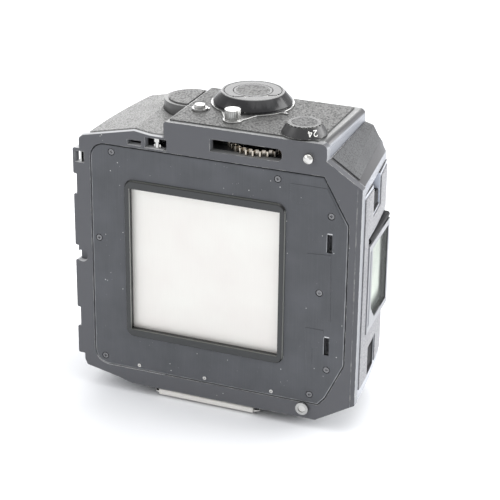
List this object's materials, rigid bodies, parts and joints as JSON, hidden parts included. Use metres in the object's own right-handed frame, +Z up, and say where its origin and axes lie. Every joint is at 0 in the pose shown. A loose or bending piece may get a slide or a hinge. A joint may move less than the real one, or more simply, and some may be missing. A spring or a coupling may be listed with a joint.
{
  "type": "roll-film camera magazine",
  "caption": "Roll-film magazine of a medium-format camera with a darkslide over its square film gate, a winding knob with folding key, a length dial and a latched rear door.",
  "frame": {"origin": "middle of the body's width and depth, on the underside of the bottom cover", "axes": "+X to the latch side, +Y away from the camera towards the rear door, +Z up towards the winding knob; the camera side faces -Y"},
  "size_m": [0.1108, 0.0487, 0.1159],
  "materials": {
    "flange_paint": "satin",
    "plate_paint": "satin",
    "satin_black_paint": "satin",
    "cover_paint": "semi-gloss",
    "black_screws": "blackened",
    "bright_pins": "polished",
    "slide_steel": "fine matt",
    "felt": "felt",
    "spring_steel": "bright",
    "clear_window": "clear",
    "leatherette": "grained",
    "polished_chrome": "polished",
    "inner_black": "matt",
    "backing_paper": "matt",
    "spool_plastic": "matt",
    "latch_plastic": "satin",
    "frame_paint": "satin",
    "card": "matt",
    "gloss_black": "gloss",
    "gear_metal": "bright",
    "dial_white": "matt"
  },
  "bodies": {
    "magazine": {"front_frame": "flange_paint", "front_plate": "plate_paint", "plate_screws": "black_screws", "contact_pins": "bright_pins", "upper_locating_pin": "bright_pins", "light_trap": "felt", "tab_spring": "spring_steel", "body_shell": "satin_black_paint", "hinge_pin": "spring_steel", "bottom_cover": "satin_black_paint", "raised_cover": "cover_paint", "counter_window": "clear_window", "shoulder_cover": "cover_paint", "shoulder_leather": "leatherette", "side_cover": "cover_paint", "side_leather": "leatherette", "deck_leather": "leatherette", "raised_leather": "leatherette", "transport_axle": "spring_steel", "film_gate": "inner_black", "insert_frame": "inner_black", "spool_pins": "spring_steel", "lower_locating_sleeve": "spring_steel", "window_frame": "frame_paint", "memo_card": "card", "window_glass": "clear_window", "window_bar": "latch_plastic", "round_housing": "cover_paint", "housing_leather": "leatherette", "button_collar": "polished_chrome", "counter_axle": "spring_steel"},
    "darkslide": {"darkslide": "slide_steel"},
    "slide_pull": {"darkslide_pull": "bright_pins"},
    "knob": {"winding_knob": "gloss_black", "knob_leather": "leatherette", "key_pins": "spring_steel", "knob_pinion": "gear_metal"},
    "folding_key": {"winding_key": "gloss_black"},
    "lever": {"lever_plate": "polished_chrome", "lever_stud": "polished_chrome"},
    "selector": {"selector_dial": "gloss_black", "selector_leather": "leatherette", "selector_shaft": "spring_steel"},
    "release_button": {"release_button": "polished_chrome"},
    "interlock_plunger": {"interlock_plunger": "bright_pins"},
    "transport_gear": {"transport_gear": "gear_metal"},
    "take_up": {"spool_drive": "gear_metal", "take_up_spool": "spool_plastic"},
    "supply": {"supply_spool": "spool_plastic", "film_roll": "backing_paper"},
    "counter_disc": {"counter_disc": "dial_white"},
    "left_roller": {"left_roller": "spring_steel"},
    "right_roller": {"right_roller": "spring_steel"},
    "coupling_pin": {"coupling_pin": "bright_pins"},
    "pressure_plate": {"pressure_plate": "inner_black", "pressure_spring": "spring_steel"},
    "rear_door": {"rear_door": "satin_black_paint", "door_leather": "leatherette"},
    "lower_latch": {"lower_latch": "latch_plastic"},
    "upper_latch": {"upper_latch": "latch_plastic"}
  },
  "joints": [
    {"name": "darkslide_travel", "type": "slide", "parent": "magazine", "child": "darkslide", "axis": [0, 0, -1], "range_m": [0, 0.08]},
    {"name": "slide_pull_fold", "type": "hinge", "parent": "darkslide", "child": "slide_pull", "pos_m": [0, -0.02165, 0.0017], "axis": [-1, 0, 0], "range_deg": [0, 90]},
    {"name": "knob_wind", "type": "hinge", "parent": "magazine", "child": "knob", "pos_m": [0.0026, 0.0061, 0.112], "axis": [0, 0, 1], "continuous": true},
    {"name": "key_fold", "type": "hinge", "parent": "knob", "child": "folding_key", "pos_m": [0.00581, 0.00068, 0.1153], "axis": [0.8607, 0.509, 0], "range_deg": [0, 90]},
    {"name": "lever_turn", "type": "hinge", "parent": "magazine", "child": "lever", "pos_m": [0.0026, 0.0061, 0.1112], "axis": [0, 0, 1], "range_deg": [-20, 20]},
    {"name": "selector_turn", "type": "hinge", "parent": "magazine", "child": "selector", "pos_m": [0.0302, -0.0156, 0.112], "axis": [0, 0, 1], "range_deg": [0, 180]},
    {"name": "release_press", "type": "slide", "parent": "magazine", "child": "release_button", "axis": [0, 0, -1], "range_m": [0, 0.0012], "stiffness_N_per_m": 600, "springref_m": -0.001},
    {"name": "interlock_press", "type": "slide", "parent": "magazine", "child": "interlock_plunger", "axis": [0, 1, 0], "range_m": [0, 0.0008], "stiffness_N_per_m": 600, "springref_m": -0.001},
    {"name": "transport_gear_turn", "type": "hinge", "parent": "magazine", "child": "transport_gear", "pos_m": [0.0135, -0.00922, 0.104], "axis": [0, 0, 1], "continuous": true},
    {"name": "take_up_turn", "type": "hinge", "parent": "magazine", "child": "take_up", "pos_m": [0.026, 0.00639, 0.055], "axis": [0, 0, 1], "continuous": true},
    {"name": "supply_turn", "type": "hinge", "parent": "magazine", "child": "supply", "pos_m": [-0.03, 0.0055, 0.055], "axis": [0, 0, 1], "continuous": true},
    {"name": "counter_turn", "type": "hinge", "parent": "magazine", "child": "counter_disc", "pos_m": [-0.0085, 0.0075, 0.107], "axis": [0, 0, 1], "continuous": true},
    {"name": "left_roller_turn", "type": "hinge", "parent": "magazine", "child": "left_roller", "pos_m": [-0.0394, -0.0127, 0.055], "axis": [0, 0, 1], "continuous": true},
    {"name": "right_roller_turn", "type": "hinge", "parent": "magazine", "child": "right_roller", "pos_m": [0.0314, -0.0127, 0.055], "axis": [0, 0, 1], "continuous": true},
    {"name": "coupling_pin_travel", "type": "slide", "parent": "magazine", "child": "coupling_pin", "axis": [1, 0, 0], "range_m": [-0.002, 0.002]},
    {"name": "pressure_give", "type": "slide", "parent": "magazine", "child": "pressure_plate", "axis": [0, 1, 0], "range_m": [0, 0.0006], "stiffness_N_per_m": 1500, "springref_m": -0.002},
    {"name": "door_swing", "type": "hinge", "parent": "magazine", "child": "rear_door", "pos_m": [-0.0496, 0.0209, 0.051], "axis": [0, 0, 1], "range_deg": [0, 100]},
    {"name": "lower_latch_travel", "type": "slide", "parent": "magazine", "child": "lower_latch", "axis": [0, 0, 1], "range_m": [0, 0.0025], "stiffness_N_per_m": 300, "springref_m": -0.002},
    {"name": "upper_latch_travel", "type": "slide", "parent": "magazine", "child": "upper_latch", "axis": [0, 0, 1], "range_m": [0, 0.0035], "stiffness_N_per_m": 300, "springref_m": -0.002}
  ],
  "couplings": [
    {"joint": "transport_gear_turn", "follows": "knob_wind", "ratio": -0.46875},
    {"joint": "take_up_turn", "follows": "knob_wind", "ratio": 0.83333},
    {"joint": "supply_turn", "follows": "knob_wind", "ratio": 0.4},
    {"joint": "counter_turn", "follows": "knob_wind", "ratio": 0.05},
    {"joint": "left_roller_turn", "follows": "knob_wind", "ratio": -1.6},
    {"joint": "right_roller_turn", "follows": "knob_wind", "ratio": -1.6}
  ]
}
